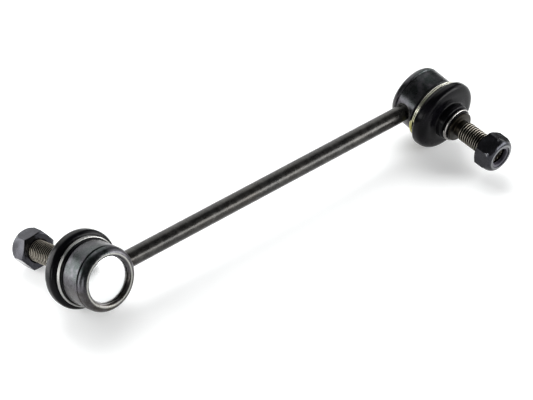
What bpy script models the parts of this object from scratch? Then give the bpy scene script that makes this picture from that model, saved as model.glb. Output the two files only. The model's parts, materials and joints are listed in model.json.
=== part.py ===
"""Stabilizer link: a straight rod with a ball joint at each end.

Each ball joint stands on its own axis, which runs out of the cup, through the boot and along the
stud. The two axes are square to the rod and turned against each other about it. Every piece of a
joint is modelled in the joint's own frame: origin at the ball's centre, +Z along the stud, +X along
the rod. Two empties place that frame on the link, one for the cup and one for the stud.
"""

from math import acos, asin, cos, degrees, pi, radians, sin, sqrt, tan

import bmesh
import bpy
from mathutils import Matrix, Vector

MM = 0.001

# Driving dimensions, in millimetres and degrees

BALL_CENTRE_DISTANCE = 200.0
CUP_DROP_ANGLE = 13.0            # each stud axis points this far below the horizontal
LEFT_STUD_LEAN = 0.0             # how far the stud is swung up from its cup's axis
RIGHT_STUD_LEAN = 3.8
CLEARANCE = 0.3                  # gap between pieces that touch on the real link

ROD_RADIUS = 4.0

BALL_RADIUS = 7.0
BALL_FOOT_ANGLE = 62.0           # below the horizontal, where the ball is cut off flat
BALL_FOOT_GAP = 0.8              # from the ball's foot to the cover plate
SEAT_WALL = 4.4                  # from the ball out to the cup's bore
SEAT_OPENING_ANGLE = 65.0        # from the stud's axis to the edge of the seat
SEAT_LIP = 0.2                   # height of the seat's top above that edge
SEAT_SPLIT = 0.7                 # depth of the joint between the seat and the pressure cap
SEAT_SLOTS = 6
SEAT_SLOT_WIDTH = 1.0
SEAT_SLOT_DEPTH = 3.0
CAP_HOLE_RADIUS = 2.5

CUP_WALL = 3.2
CUP_GROOVE_WIDTH = 0.8
CUP_GROOVE_DEPTH = 0.6
COLLAR_HEIGHT = 3.8              # from the groove to the back of the rolled rim
RIM_WIDTH = 2.8                  # from the cup's side in to the crest of the rim
RIM_BEVEL = 1.3                  # from the crest in to the edge over the cover plate
RIM_ROLL = 1.4
MOUTH_STEP = 4.5                 # how far the mouth closes in over the bore
MOUTH_LIP = 1.3
SPIGOT_STEP = 2.3                # from the cup's side in to the spigot that holds the boot
SPIGOT_WALL = 2.1
SPIGOT_HEIGHT = 3.4
SPIGOT_BEAD = 0.6

PLATE_THICKNESS = 1.3
PLATE_DOME = 1.1
PLATE_SEAT = 0.3                 # how far the cover plate reaches out over the bore

BOOT_WALL = 1.7
BOOT_LIP_WALL = 2.0              # rubber between the spigot and the base ring
BOOT_BULGE = 2.5                 # how far the bellows stands out past the base ring
BOOT_UNDERSIDE = 2.1             # from the base ring's groove up to the widest turn
BOOT_CROWN = 5.3                 # from the widest turn up to the front
BOOT_SQUARENESS = 3.4            # exponent of the crown's curve, 2 is an ellipse
BOOT_COLLAR_STEP = 1.1           # how far the collar stands out past the neck ring
BOOT_COLLAR_LENGTH = 4.3
BOOT_NECK_WALL = 1.1             # rubber between the stud and the neck ring

BASE_RING_WIRE = 0.42            # radius of the spring wire
BASE_RING_TURNS = 2.0
BASE_RING_LIFT = 2.0             # from the cup's shoulder to the middle of the ring
NECK_RING_WIRE = 0.4
NECK_RING_TURNS = 1.5
RING_TURN_GAP = 0.05

NECK_RADIUS = 4.1
NECK_LENGTH = 4.0
SHANK_RADIUS = 5.0
SHANK_TAPER = 2.2
BOOT_SEAT_RADIUS = 5.9
BOOT_SEAT_DEPTH = 0.6            # from the boot's front in to where its seat on the stud starts
FLANGE_STEP = 1.5                # how far the shoulder stands out past the boot's seat
FLANGE_THICKNESS = 1.0
FLANGE_CHAMFER = 0.4
THREAD_RADIUS = 4.93
THREAD_RUNOUT = 2.4              # plain neck between the shoulder and the thread
RUNOUT_DEPTH = 0.58
THREAD_LENGTH = 21.2
STUD_CHAMFER = 0.9

NUT_WALL = 3.07                  # from the thread out to the flats
NUT_HEIGHT = 9.8
NUT_CROWN_HEIGHT = 4.2           # the part of it above the hexagon
NUT_FACE_STEP = 0.3              # from the flats in to the bearing face
NUT_LIP = 1.0                    # how far the crimped edge closes in over the insert
INSERT_WALL = 1.77
INSERT_HEIGHT = 1.7
INSERT_DEPTH = 0.5
LEFT_NUT_ENGAGED = 4.2           # length of the stud inside the nut
RIGHT_NUT_ENGAGED = 6.8
LEFT_NUT_TURN = -5.6
RIGHT_NUT_TURN = 34.0

LARGE_STEPS = 28                 # facets around the cups and boots
SMALL_STEPS = 20                 # facets around the studs, seats and nut bores
RING_STEPS = 18


def coil_rise(wire, turns):
    """How far a spring ring's wire climbs between its ends, with its turns side by side."""
    return turns * (2 * wire + RING_TURN_GAP)


# Radii that follow, from the ball out to the boot

SEAT_HOLLOW = BALL_RADIUS + CLEARANCE
CUP_BORE = BALL_RADIUS + SEAT_WALL
CUP_RADIUS = CUP_BORE + CUP_WALL
MOUTH_RADIUS = CUP_BORE - MOUTH_STEP
SPIGOT_RADIUS = CUP_RADIUS - SPIGOT_STEP
RIM_CREST_RADIUS = CUP_RADIUS - RIM_WIDTH
RIM_OPENING_RADIUS = RIM_CREST_RADIUS - RIM_BEVEL
PLATE_RADIUS = CUP_BORE + PLATE_SEAT
BASE_RING_RADIUS = SPIGOT_RADIUS + BOOT_LIP_WALL + BASE_RING_WIRE + 2 * CLEARANCE
BOOT_BULGE_RADIUS = BASE_RING_RADIUS + BOOT_BULGE
NECK_RING_RADIUS = BOOT_SEAT_RADIUS + BOOT_NECK_WALL + NECK_RING_WIRE + 2 * CLEARANCE
BOOT_COLLAR_RADIUS = NECK_RING_RADIUS + BOOT_COLLAR_STEP
FLANGE_RADIUS = BOOT_SEAT_RADIUS + FLANGE_STEP
INSERT_RADIUS = THREAD_RADIUS + INSERT_WALL
NUT_ACROSS_FLATS = 2 * (THREAD_RADIUS + NUT_WALL)
NUT_FACE_RADIUS = NUT_ACROSS_FLATS / 2 - NUT_FACE_STEP

# Heights that follow, from the back of the cup to the end of the stud

BALL_FOOT = -BALL_RADIUS * sin(radians(BALL_FOOT_ANGLE))
PLATE_INSIDE = BALL_FOOT - BALL_FOOT_GAP + PLATE_DOME    # the face that the cup's shoulder holds
CUP_BACK = PLATE_INSIDE - PLATE_THICKNESS - CLEARANCE - RIM_ROLL
CUP_COLLAR = CUP_BACK + COLLAR_HEIGHT
SEAT_TOP = SEAT_HOLLOW * cos(radians(SEAT_OPENING_ANGLE)) + SEAT_LIP
CUP_MOUTH = SEAT_TOP + CLEARANCE + MOUTH_LIP
SPIGOT_TOP = CUP_MOUTH + SPIGOT_HEIGHT
BASE_RING_HEIGHT = CUP_MOUTH + BASE_RING_LIFT
BASE_RING_REACH = coil_rise(BASE_RING_WIRE, BASE_RING_TURNS) / 2 + BASE_RING_WIRE
BOOT_SHOULDER = BASE_RING_HEIGHT + BASE_RING_REACH + CLEARANCE
BOOT_BULGE_HEIGHT = BOOT_SHOULDER + BOOT_UNDERSIDE
BOOT_FRONT = BOOT_BULGE_HEIGHT + BOOT_CROWN
NECK_RING_REACH = coil_rise(NECK_RING_WIRE, NECK_RING_TURNS) / 2 + NECK_RING_WIRE
NECK_GROOVE = BOOT_FRONT + BOOT_COLLAR_LENGTH
NECK_RING_HEIGHT = NECK_GROOVE + CLEARANCE + NECK_RING_REACH
BOOT_END = NECK_RING_HEIGHT + NECK_RING_REACH
FLANGE_BACK = BOOT_END + CLEARANCE
FLANGE_FACE = FLANGE_BACK + FLANGE_THICKNESS             # the shoulder that the eye bears on
BOOT_SEAT_START = BOOT_FRONT + BOOT_SEAT_DEPTH
THREAD_START = FLANGE_FACE + THREAD_RUNOUT
STUD_END = THREAD_START + THREAD_LENGTH
LEFT_NUT_FACE = STUD_END - LEFT_NUT_ENGAGED
RIGHT_NUT_FACE = STUD_END - RIGHT_NUT_ENGAGED


# Materials

def material(name, colour, roughness, metallic):
    made = bpy.data.materials.new(name)
    made.use_nodes = True
    shader = made.node_tree.nodes["Principled BSDF"]
    shader.inputs["Base Color"].default_value = (*colour, 1.0)
    shader.inputs["Roughness"].default_value = roughness
    shader.inputs["Metallic"].default_value = metallic
    made.diffuse_color = (*colour, 1.0)
    return made


FINISHES = {
    "rod": ((0.035, 0.034, 0.033), 0.45, 0.6),
    "cup": ((0.045, 0.047, 0.045), 0.38, 0.7),
    "cover_plate": ((0.86, 0.87, 0.88), 0.12, 1.0),
    "ball_seat": ((0.82, 0.80, 0.72), 0.50, 0.0),
    "pressure_cap": ((0.75, 0.73, 0.66), 0.50, 0.0),
    "ball_stud": ((0.16, 0.15, 0.13), 0.35, 0.9),
    "boot": ((0.012, 0.012, 0.013), 0.42, 0.0),
    "base_ring": ((0.66, 0.63, 0.48), 0.25, 1.0),
    "neck_ring": ((0.62, 0.62, 0.62), 0.25, 1.0),
    "lock_nut": ((0.05, 0.052, 0.05), 0.35, 0.8),
    "nut_insert": ((0.23, 0.22, 0.26), 0.55, 0.0),
}


# Modelling tools

def new_object(name, mesh, collection):
    made = bpy.data.objects.new(name, mesh)
    collection.objects.link(made)
    return made


def turned(name, profile, collection, steps=LARGE_STEPS, closed=True):
    """Turns a profile of (radius, height) points about Z, listed down its outer side."""
    mesh = bpy.data.meshes.new(name)
    points = [(radius * MM, 0.0, height * MM) for radius, height in profile]
    edges = [(i, i + 1) for i in range(len(points) - 1)]
    if closed:
        edges.append((len(points) - 1, 0))
    mesh.from_pydata(points, edges, [])
    made = new_object(name, mesh, collection)
    screw = made.modifiers.new("turn", "SCREW")
    screw.axis = "Z"
    screw.angle = 2 * pi
    screw.steps = steps
    screw.render_steps = steps
    screw.use_merge_vertices = True
    screw.merge_threshold = 0.00001
    return made


def arc(centre, radius, start, end, steps):
    """Points on a circle in the profile plane; angles run from +radius towards +height."""
    points = []
    for i in range(steps + 1):
        angle = radians(start + (end - start) * i / steps)
        points.append((centre[0] + radius * cos(angle), centre[1] + radius * sin(angle)))
    return points


def coil(name, radius, height, wire, turns, collection):
    """A round wire wound in a flat spring ring with its turns side by side."""
    curve = bpy.data.curves.new(name, "CURVE")
    curve.dimensions = "3D"
    curve.bevel_depth = wire * MM
    curve.bevel_resolution = 1
    curve.use_fill_caps = True
    spline = curve.splines.new("POLY")
    count = round(turns * RING_STEPS)
    spline.points.add(count)
    for i in range(count + 1):
        angle = 2 * pi * i / RING_STEPS
        level = height + coil_rise(wire, turns) * (i / count - 0.5)
        spline.points[i].co = (radius * cos(angle) * MM, radius * sin(angle) * MM, level * MM, 1)
    return new_object(name, curve, collection)


def cut(target, cutter, operation="DIFFERENCE"):
    boolean = target.modifiers.new(operation.lower(), "BOOLEAN")
    boolean.operation = operation
    boolean.object = cutter
    boolean.solver = "EXACT"
    cutter.hide_render = True
    cutter.display_type = "WIRE"


def settle(made, kind):
    """Keeps the finished surface as a plain mesh, shaded smooth where it is round."""
    shaped = made.evaluated_get(bpy.context.evaluated_depsgraph_get())
    mesh = bpy.data.meshes.new_from_object(shaped)
    if made.type == "CURVE":
        collection = made.users_collection[0]
        name, parent = made.name, made.parent
        bpy.data.objects.remove(made)
        made = new_object(name, mesh, collection)
        made.parent = parent
    else:
        made.modifiers.clear()
        made.data = mesh
    weld(mesh)
    mesh.shade_smooth()
    mesh.set_sharp_from_angle(angle=radians(32))
    colour, roughness, metallic = FINISHES[kind]
    mesh.materials.clear()
    mesh.materials.append(material(made.name, colour, roughness, metallic))
    return made


def weld(mesh):
    work = bmesh.new()
    work.from_mesh(mesh)
    bmesh.ops.remove_doubles(work, verts=work.verts, dist=0.000002)
    work.to_mesh(mesh)
    work.free()


def lean(mesh, angle, start, end):
    """Bends a turned body about the ball's centre: still below start, fully swung above end."""
    for vertex in mesh.vertices:
        share = (vertex.co.z / MM - start) / (end - start)
        share = min(max(share, 0.0), 1.0)
        share = share * share * (3 - 2 * share)
        vertex.co = Matrix.Rotation(radians(angle) * share, 4, "X") @ vertex.co


# Profiles of the turned pieces

def cup_profile():
    groove = CUP_GROOVE_WIDTH / 2
    edge = 0.4
    roll_start = CUP_COLLAR - groove
    roll = [
        (RIM_CREST_RADIUS + RIM_WIDTH * cos(t), roll_start + (CUP_BACK - roll_start) * sin(t))
        for t in [radians(a) for a in (12, 30, 48, 66, 82)]
    ]
    plate_outside = PLATE_INSIDE - PLATE_THICKNESS - CLEARANCE
    mouth_foot = CUP_MOUTH - MOUTH_LIP
    return [
        (SPIGOT_RADIUS - SPIGOT_WALL, SPIGOT_TOP),
        (SPIGOT_RADIUS + SPIGOT_BEAD / 2, SPIGOT_TOP),
        (SPIGOT_RADIUS + SPIGOT_BEAD, SPIGOT_TOP - edge),
        (SPIGOT_RADIUS, SPIGOT_TOP - edge - SPIGOT_BEAD),
        (SPIGOT_RADIUS, CUP_MOUTH),
        (CUP_RADIUS - edge, CUP_MOUTH),
        (CUP_RADIUS, CUP_MOUTH - edge),
        (CUP_RADIUS, CUP_COLLAR + groove),
        (CUP_RADIUS - CUP_GROOVE_DEPTH, CUP_COLLAR),
        (CUP_RADIUS, CUP_COLLAR - groove),
        *roll,
        (RIM_CREST_RADIUS - RIM_BEVEL / 2, CUP_BACK + edge / 4),
        (RIM_OPENING_RADIUS, CUP_BACK + RIM_ROLL / 2),
        (RIM_OPENING_RADIUS, plate_outside),
        (PLATE_RADIUS + CLEARANCE, plate_outside),
        (PLATE_RADIUS + CLEARANCE, PLATE_INSIDE + CLEARANCE),
        (CUP_BORE, PLATE_INSIDE + CLEARANCE),
        (CUP_BORE, mouth_foot),
        (MOUTH_RADIUS, mouth_foot),
        (MOUTH_RADIUS + edge / 2, mouth_foot + edge),
    ]


def plate_profile():
    dome_radius = RIM_OPENING_RADIUS - 2 * CLEARANCE
    ball = (dome_radius ** 2 + PLATE_DOME ** 2) / (2 * PLATE_DOME)
    spread = acos((ball - PLATE_DOME) / ball)
    steps = 3
    domed = []
    for i in range(steps + 1):
        t = spread * i / steps
        domed.append((ball * sin(t), ball * cos(t) - ball + PLATE_DOME))
    outside = PLATE_INSIDE - PLATE_THICKNESS
    upper = [(radius, PLATE_INSIDE - rise) for radius, rise in domed]
    lower = [(radius, outside - rise) for radius, rise in reversed(domed)]
    return upper + [(PLATE_RADIUS, PLATE_INSIDE), (PLATE_RADIUS, outside)] + lower


def seat_profile():
    outer = CUP_BORE - CLEARANCE
    edge = 0.6
    split = -degrees(asin(SEAT_SPLIT / SEAT_HOLLOW))
    inside = arc((0.0, 0.0), SEAT_HOLLOW, split, 90.0 - SEAT_OPENING_ANGLE, 3)
    return [
        (inside[-1][0] + edge / 2, SEAT_TOP),
        (outer - edge, SEAT_TOP),
        (outer, SEAT_TOP - edge),
        (outer, -SEAT_SPLIT),
        *inside,
    ]


def cap_profile():
    outer = CUP_BORE - CLEARANCE
    edge = 0.5
    top = -SEAT_SPLIT - CLEARANCE
    bottom = PLATE_INSIDE + CLEARANCE
    inside = arc((0.0, 0.0), SEAT_HOLLOW, -degrees(acos(cap_hole() / SEAT_HOLLOW)),
                 degrees(asin(top / SEAT_HOLLOW)), 5)
    return [
        (outer, top),
        (outer, bottom + edge),
        (outer - edge, bottom),
        (cap_hole(), bottom),
        *inside,
    ]


def cap_hole():
    """The hole in the cap's floor, wide enough to leave some floor under the ball's hollow."""
    floor = PLATE_INSIDE + 3 * CLEARANCE
    return max(CAP_HOLE_RADIUS, sqrt(max(SEAT_HOLLOW ** 2 - floor ** 2, 0.0)))


def stud_profile():
    ball = arc((0.0, 0.0), BALL_RADIUS, degrees(acos(NECK_RADIUS / BALL_RADIUS)),
               -BALL_FOOT_ANGLE, 10)
    edge = 0.2
    runout = THREAD_RADIUS - RUNOUT_DEPTH
    return [
        (0.0, STUD_END),
        (THREAD_RADIUS - STUD_CHAMFER, STUD_END),
        (THREAD_RADIUS, STUD_END - STUD_CHAMFER),
        (THREAD_RADIUS, THREAD_START + RUNOUT_DEPTH),
        (runout, THREAD_START),
        (runout, FLANGE_FACE),
        (FLANGE_RADIUS - FLANGE_CHAMFER, FLANGE_FACE),
        (FLANGE_RADIUS, FLANGE_FACE - FLANGE_CHAMFER),
        (FLANGE_RADIUS, FLANGE_BACK + edge),
        (FLANGE_RADIUS - edge, FLANGE_BACK),
        (BOOT_SEAT_RADIUS, FLANGE_BACK),
        (BOOT_SEAT_RADIUS, BOOT_SEAT_START),
        (SHANK_RADIUS, BOOT_SEAT_START - SHANK_TAPER),
        (NECK_RADIUS, BALL_RADIUS + NECK_LENGTH),
        *ball,
        (0.0, BALL_FOOT),
    ]


def boot_crown(side, foot, low, high, steps):
    """The bellows' rounded turn, from its foot near the collar out and down to its widest."""
    points = []
    for i in range(steps + 1):
        t = pi / 2 * (1 - i / steps)
        points.append((foot + (side - foot) * max(cos(t), 0.0) ** (2 / BOOT_SQUARENESS),
                       low + (high - low) * sin(t) ** (2 / BOOT_SQUARENESS)))
    return points


def boot_outer():
    """The boot's outer side, from the neck lip down over the bellows to the base lip."""
    neck_groove = NECK_RING_RADIUS - NECK_RING_WIRE - CLEARANCE
    base_groove = BASE_RING_RADIUS - BASE_RING_WIRE - CLEARANCE
    edge = 0.5
    return [
        (neck_groove, BOOT_END),
        (neck_groove, NECK_GROOVE),
        (BOOT_COLLAR_RADIUS - edge, NECK_GROOVE - edge / 2),
        (BOOT_COLLAR_RADIUS, NECK_GROOVE - 2 * edge),
        (BOOT_COLLAR_RADIUS, BOOT_FRONT + 2 * edge),
        (BOOT_COLLAR_RADIUS - edge / 2, BOOT_FRONT + edge / 2),
        *boot_crown(BOOT_BULGE_RADIUS, BOOT_COLLAR_RADIUS + edge, BOOT_BULGE_HEIGHT, BOOT_FRONT, 6),
        (BOOT_BULGE_RADIUS - edge, BOOT_BULGE_HEIGHT - 3 * edge),
        (BOOT_BULGE_RADIUS - 3 * edge, BOOT_SHOULDER + edge / 4),
        (base_groove, BOOT_SHOULDER),
        (base_groove, CUP_MOUTH + CLEARANCE),
    ]


def boot_inner():
    """The boot's inner side, from the base lip up to the neck."""
    spigot = SPIGOT_RADIUS + CLEARANCE
    bore = BOOT_SEAT_RADIUS + CLEARANCE
    edge = 0.5
    side = BOOT_BULGE_RADIUS - BOOT_WALL
    crown = boot_crown(side, bore + edge, BOOT_BULGE_HEIGHT, BOOT_FRONT - BOOT_WALL, 4)
    return [
        (spigot, CUP_MOUTH + CLEARANCE),
        (spigot, SPIGOT_TOP - 2 * edge - CLEARANCE),
        (spigot + SPIGOT_BEAD, SPIGOT_TOP - edge - CLEARANCE),
        (spigot + SPIGOT_BEAD, SPIGOT_TOP + CLEARANCE),
        (side - 2 * edge, BOOT_SHOULDER + edge),
        *reversed(crown),
        (bore, BOOT_FRONT - BOOT_WALL + edge),
        (bore, BOOT_END),
    ]


def nut_envelope():
    """The turned form that rounds the hexagon: a chamfered bearing face and a domed crown."""
    over = NUT_ACROSS_FLATS / sqrt(3) + CLEARANCE
    crown_start = NUT_HEIGHT - NUT_CROWN_HEIGHT
    edge = 0.5
    top = INSERT_RADIUS - edge
    dome = [
        (top + (over - top - edge) * cos(t), crown_start + NUT_CROWN_HEIGHT * sin(t))
        for t in [radians(a) for a in (74, 55, 38, 20)]
    ]
    return [
        (0.0, NUT_HEIGHT),
        (top, NUT_HEIGHT),
        *dome,
        (over, crown_start - edge),
        (over, (over - NUT_FACE_RADIUS) * tan(radians(30))),
        (NUT_FACE_RADIUS, 0.0),
        (0.0, 0.0),
    ]


def nut_bore():
    """The form that is cut out of the nut: bore, bearing-side bevel and the insert's groove."""
    bore = THREAD_RADIUS + CLEARANCE
    bevel = 0.7
    beyond = 1.0
    groove_top = NUT_HEIGHT - INSERT_DEPTH
    groove_foot = groove_top - INSERT_HEIGHT - 2 * CLEARANCE
    groove = INSERT_RADIUS + CLEARANCE
    lip = INSERT_RADIUS - NUT_LIP
    return [
        (0.0, NUT_HEIGHT + beyond),
        (lip, NUT_HEIGHT + beyond),
        (lip, groove_top),
        (groove, groove_top),
        (groove, groove_foot),
        (bore, groove_foot),
        (bore, bevel),
        (bore + bevel, 0.0),
        (bore + bevel, -beyond),
        (0.0, -beyond),
    ]


def insert_profile():
    top = NUT_HEIGHT - INSERT_DEPTH - CLEARANCE
    foot = top - INSERT_HEIGHT
    bore = THREAD_RADIUS + CLEARANCE
    return [(bore, top), (INSERT_RADIUS, top), (INSERT_RADIUS, foot), (bore, foot)]


# The pieces

def make_rod(parts, cutters, cup_frames):
    half = BALL_CENTRE_DISTANCE / 2
    bpy.ops.mesh.primitive_cylinder_add(
        vertices=32, radius=ROD_RADIUS * MM, depth=2 * (half - CUP_RADIUS / 2) * MM,
        rotation=(0.0, pi / 2, 0.0))
    rod = bpy.context.object
    rod.name = "rod"
    rod.data.name = "rod"
    move_to(rod, parts)
    for side, frame in cup_frames.items():
        # the rod's end is hollowed to lie against the round wall of the cup
        wall = CUP_RADIUS + CLEARANCE
        saddle = turned(f"{side}_saddle", [(0.0, CUP_MOUTH), (wall, CUP_MOUTH),
                        (wall, CUP_COLLAR), (0.0, CUP_COLLAR)], cutters, closed=False)
        saddle.parent = frame
        cut(rod, saddle)
    return [(rod, "rod")]


def move_to(made, collection):
    for held in list(made.users_collection):
        held.objects.unlink(made)
    collection.objects.link(made)


def make_cup(side, parts, cutters):
    cup = turned(f"{side}_cup", cup_profile(), parts)
    plate = turned(f"{side}_cover_plate", plate_profile(), parts, closed=False)
    cap = turned(f"{side}_pressure_cap", cap_profile(), parts, steps=SMALL_STEPS)
    seat = turned(f"{side}_ball_seat", seat_profile(), parts, steps=SMALL_STEPS)
    slots = make_slots(side, cutters)
    cut(seat, slots)
    ring = coil(f"{side}_base_ring", BASE_RING_RADIUS, BASE_RING_HEIGHT, BASE_RING_WIRE,
                BASE_RING_TURNS, parts)
    boot = turned(f"{side}_boot", boot_outer() + boot_inner(), parts)
    return [(cup, "cup"), (plate, "cover_plate"), (cap, "pressure_cap"), (seat, "ball_seat"),
            (ring, "base_ring"), (boot, "boot")], [slots]


def make_slots(side, cutters):
    """Six radial saw cuts let the seat spring open around the ball."""
    mesh = bpy.data.meshes.new(f"{side}_slots")
    work = bmesh.new()
    length = CUP_RADIUS
    top = CUP_MOUTH - MOUTH_LIP
    for i in range(SEAT_SLOTS):
        # turned a little, so that no wall of a saw cut runs along an edge of the seat
        turn = Matrix.Rotation(2 * pi * (i + 0.25) / SEAT_SLOTS, 4, "Z")
        place = turn @ Matrix.Translation(Vector(((BALL_RADIUS + length) / 2, 0.0, top)) * MM)
        size = Matrix.Diagonal((length * MM, SEAT_SLOT_WIDTH * MM, 2 * SEAT_SLOT_DEPTH * MM, 1.0))
        bmesh.ops.create_cube(work, size=1.0, matrix=place @ size)
    work.to_mesh(mesh)
    work.free()
    return new_object(f"{side}_slots", mesh, cutters)


def make_stud(side, parts, cutters):
    face = LEFT_NUT_FACE if side == "left" else RIGHT_NUT_FACE
    turn = LEFT_NUT_TURN if side == "left" else RIGHT_NUT_TURN
    stud = turned(f"{side}_ball_stud", stud_profile(), parts, steps=SMALL_STEPS, closed=False)
    ring = coil(f"{side}_neck_ring", NECK_RING_RADIUS, NECK_RING_HEIGHT, NECK_RING_WIRE,
                NECK_RING_TURNS, parts)
    insert = turned(f"{side}_nut_insert", insert_profile(), parts, steps=SMALL_STEPS)
    insert.location.z = face * MM
    nut, tools = make_nut(side, parts, cutters)
    for made in (nut, *tools):
        made.location.z += face * MM
        made.rotation_euler.z = radians(turn)
    return [(stud, "ball_stud"), (ring, "neck_ring"), (nut, "lock_nut"),
            (insert, "nut_insert")], tools


def make_nut(side, parts, cutters):
    bpy.ops.mesh.primitive_cylinder_add(
        vertices=6, radius=NUT_ACROSS_FLATS / sqrt(3) * MM, depth=NUT_HEIGHT * MM,
        location=(0.0, 0.0, NUT_HEIGHT / 2 * MM))
    nut = bpy.context.object
    nut.name = f"{side}_lock_nut"
    # the hexagon's own vertices start on +Y, and the turn is measured to a corner from +X
    nut.data.transform(Matrix.Translation((0.0, 0.0, NUT_HEIGHT / 2 * MM))
                       @ Matrix.Rotation(pi / 2, 4, "Z"))
    nut.location = (0.0, 0.0, 0.0)
    move_to(nut, parts)
    envelope = turned(f"{side}_nut_envelope", nut_envelope(), cutters, closed=False)
    bore = turned(f"{side}_nut_bore", nut_bore(), cutters, steps=SMALL_STEPS, closed=False)
    cut(nut, envelope, "INTERSECT")
    cut(nut, bore)
    return nut, [envelope, bore]


def make_frames(side, collection):
    """Two empties at the ball's centre: the cup's frame and the stud's, which leans from it."""
    sign = -1.0 if side == "left" else 1.0
    stand = LEFT_STUD_LEAN if side == "left" else RIGHT_STUD_LEAN
    cup = bpy.data.objects.new(f"{side}_cup_frame", None)
    stud = bpy.data.objects.new(f"{side}_stud_frame", None)
    collection.objects.link(cup)
    collection.objects.link(stud)
    cup.location = (sign * BALL_CENTRE_DISTANCE / 2 * MM, 0.0, 0.0)
    cup.rotation_euler = (-pi / 2 - radians(CUP_DROP_ANGLE), 0.0, 0.0 if side == "left" else pi)
    stud.parent = cup
    stud.rotation_euler = (radians(stand), 0.0, 0.0)
    return cup, stud


def stand_on_ground(pieces, collection):
    """Moves the whole link until its lowest point and its middle lie over the origin."""
    corners = [made.matrix_world @ vertex.co for made in pieces for vertex in made.data.vertices]
    low = Vector(min(corner[axis] for corner in corners) for axis in range(3))
    high = Vector(max(corner[axis] for corner in corners) for axis in range(3))
    shift = Vector((-(low.x + high.x) / 2, -(low.y + high.y) / 2, -low.z))
    for made in collection.objects:
        if made.parent is None:
            made.location += shift
    bpy.context.view_layer.update()


def main():
    for old in list(bpy.data.objects):
        bpy.data.objects.remove(old)
    scene = bpy.context.scene
    parts = bpy.data.collections.new("stabilizer_link")
    cutters = bpy.data.collections.new("cutters")
    scene.collection.children.link(parts)
    scene.collection.children.link(cutters)

    cup_frames = {}
    pieces = []
    for side in ("left", "right"):
        cup_frame, stud_frame = make_frames(side, parts)
        cup_frames[side] = cup_frame
        cup_pieces, cup_tools = make_cup(side, parts, cutters)
        stud_pieces, stud_tools = make_stud(side, parts, cutters)
        for made in [piece for piece, kind in cup_pieces] + cup_tools:
            made.parent = cup_frame
        for made in [piece for piece, kind in stud_pieces] + stud_tools:
            made.parent = stud_frame
        pieces += cup_pieces + stud_pieces
    pieces += make_rod(parts, cutters, cup_frames)

    bpy.context.view_layer.update()
    leans = {"left_boot": LEFT_STUD_LEAN, "right_boot": RIGHT_STUD_LEAN}
    settled = [settle(made, kind) for made, kind in pieces]
    for made in settled:
        if made.name in leans:
            lean(made.data, leans[made.name], SPIGOT_TOP, BOOT_SEAT_START)
    bpy.context.view_layer.update()
    stand_on_ground(settled, parts)


main()
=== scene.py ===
"""Looks of the stabilizer link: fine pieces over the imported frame, their finishes, floor, light, camera.

Every piece of a ball joint is turned about that joint's own axes, in millimetres: origin at the
ball's centre, +Z out along the stud, +X along the rod. Axes for each side come from the frame.
"""

import json

from math import acos, asin, atan2, cos, degrees, pi, radians, sin, sqrt

import bmesh
import bpy
from mathutils import Matrix, Vector


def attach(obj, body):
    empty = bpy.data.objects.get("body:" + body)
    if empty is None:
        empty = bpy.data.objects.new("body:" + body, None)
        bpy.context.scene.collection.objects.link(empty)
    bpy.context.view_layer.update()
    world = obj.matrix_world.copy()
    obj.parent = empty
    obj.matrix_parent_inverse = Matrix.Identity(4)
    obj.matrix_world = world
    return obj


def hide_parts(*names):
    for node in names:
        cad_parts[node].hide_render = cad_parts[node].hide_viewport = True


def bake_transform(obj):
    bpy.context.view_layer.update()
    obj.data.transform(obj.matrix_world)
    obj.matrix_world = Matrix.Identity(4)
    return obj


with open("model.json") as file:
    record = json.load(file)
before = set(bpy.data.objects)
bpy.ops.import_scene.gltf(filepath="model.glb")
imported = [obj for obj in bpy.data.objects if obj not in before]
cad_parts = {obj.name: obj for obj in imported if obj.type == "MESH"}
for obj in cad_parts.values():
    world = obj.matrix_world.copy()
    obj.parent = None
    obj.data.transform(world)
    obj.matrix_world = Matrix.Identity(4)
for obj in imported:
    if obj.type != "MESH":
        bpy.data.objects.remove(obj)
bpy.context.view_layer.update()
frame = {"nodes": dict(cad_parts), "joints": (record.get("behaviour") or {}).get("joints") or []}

MM = 0.001
SIDES = ("left", "right")

# Sizes, in millimetres and degrees

ROD_RADIUS = 4.0
ROD_FILLET = 0.7                 # where the rod is welded to the cup's side
ROD_SINK = 0.9                   # how far the rod's end reaches into the cup's wall
ROD_LEAD = 1.0                   # from the weld's end to where the mesh of the straight bar begins

CUP_RADIUS = 14.6
CUP_BORE = 11.4
CUP_MOUTH = 4.885
CUP_MOUTH_LIP = 1.3
CUP_EDGE = 0.45
CUP_COLLAR = -5.081              # the groove that parts the rolled collar from the cup
CUP_BACK = -8.881
GROOVE_WIDTH = 0.8
GROOVE_DEPTH = 0.65
GROOVE_FLOOR = 0.2               # width of the groove's flat floor
GROOVE_EDGE = 0.15               # chamfer of the cup's edge at the groove
COLLAR_EDGE = 0.2                # chamfer of the collar's edge at the groove
RIM_CREST_RADIUS = 11.8
RIM_OPENING_RADIUS = 10.5
RIM_ROLL = 1.1                   # how far the rim's inner edge lies inside its crest
# width of the painted highlight along the rim's crest
CREST_HIGHLIGHT_WIDTH = 0.45
SPIGOT_RADIUS = 12.3
SPIGOT_TOP = 8.285
SPIGOT_BEAD = 0.6
SPIGOT_BORE = 10.2
MOUTH_RADIUS = 6.9

PLATE_OUTSIDE = -7.181           # the cover plate's flat edge
PLATE_DOME = 1.1
PLATE_THICKNESS = 1.2
PLATE_SEAT = 0.5                 # how far the plate's seat is cut out past the bore
PLATE_PLAY = 0.3                 # free height of that seat on each side of the plate
PLATE_GAP = 0.15                 # from the dome's edge to the rim's opening

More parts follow.
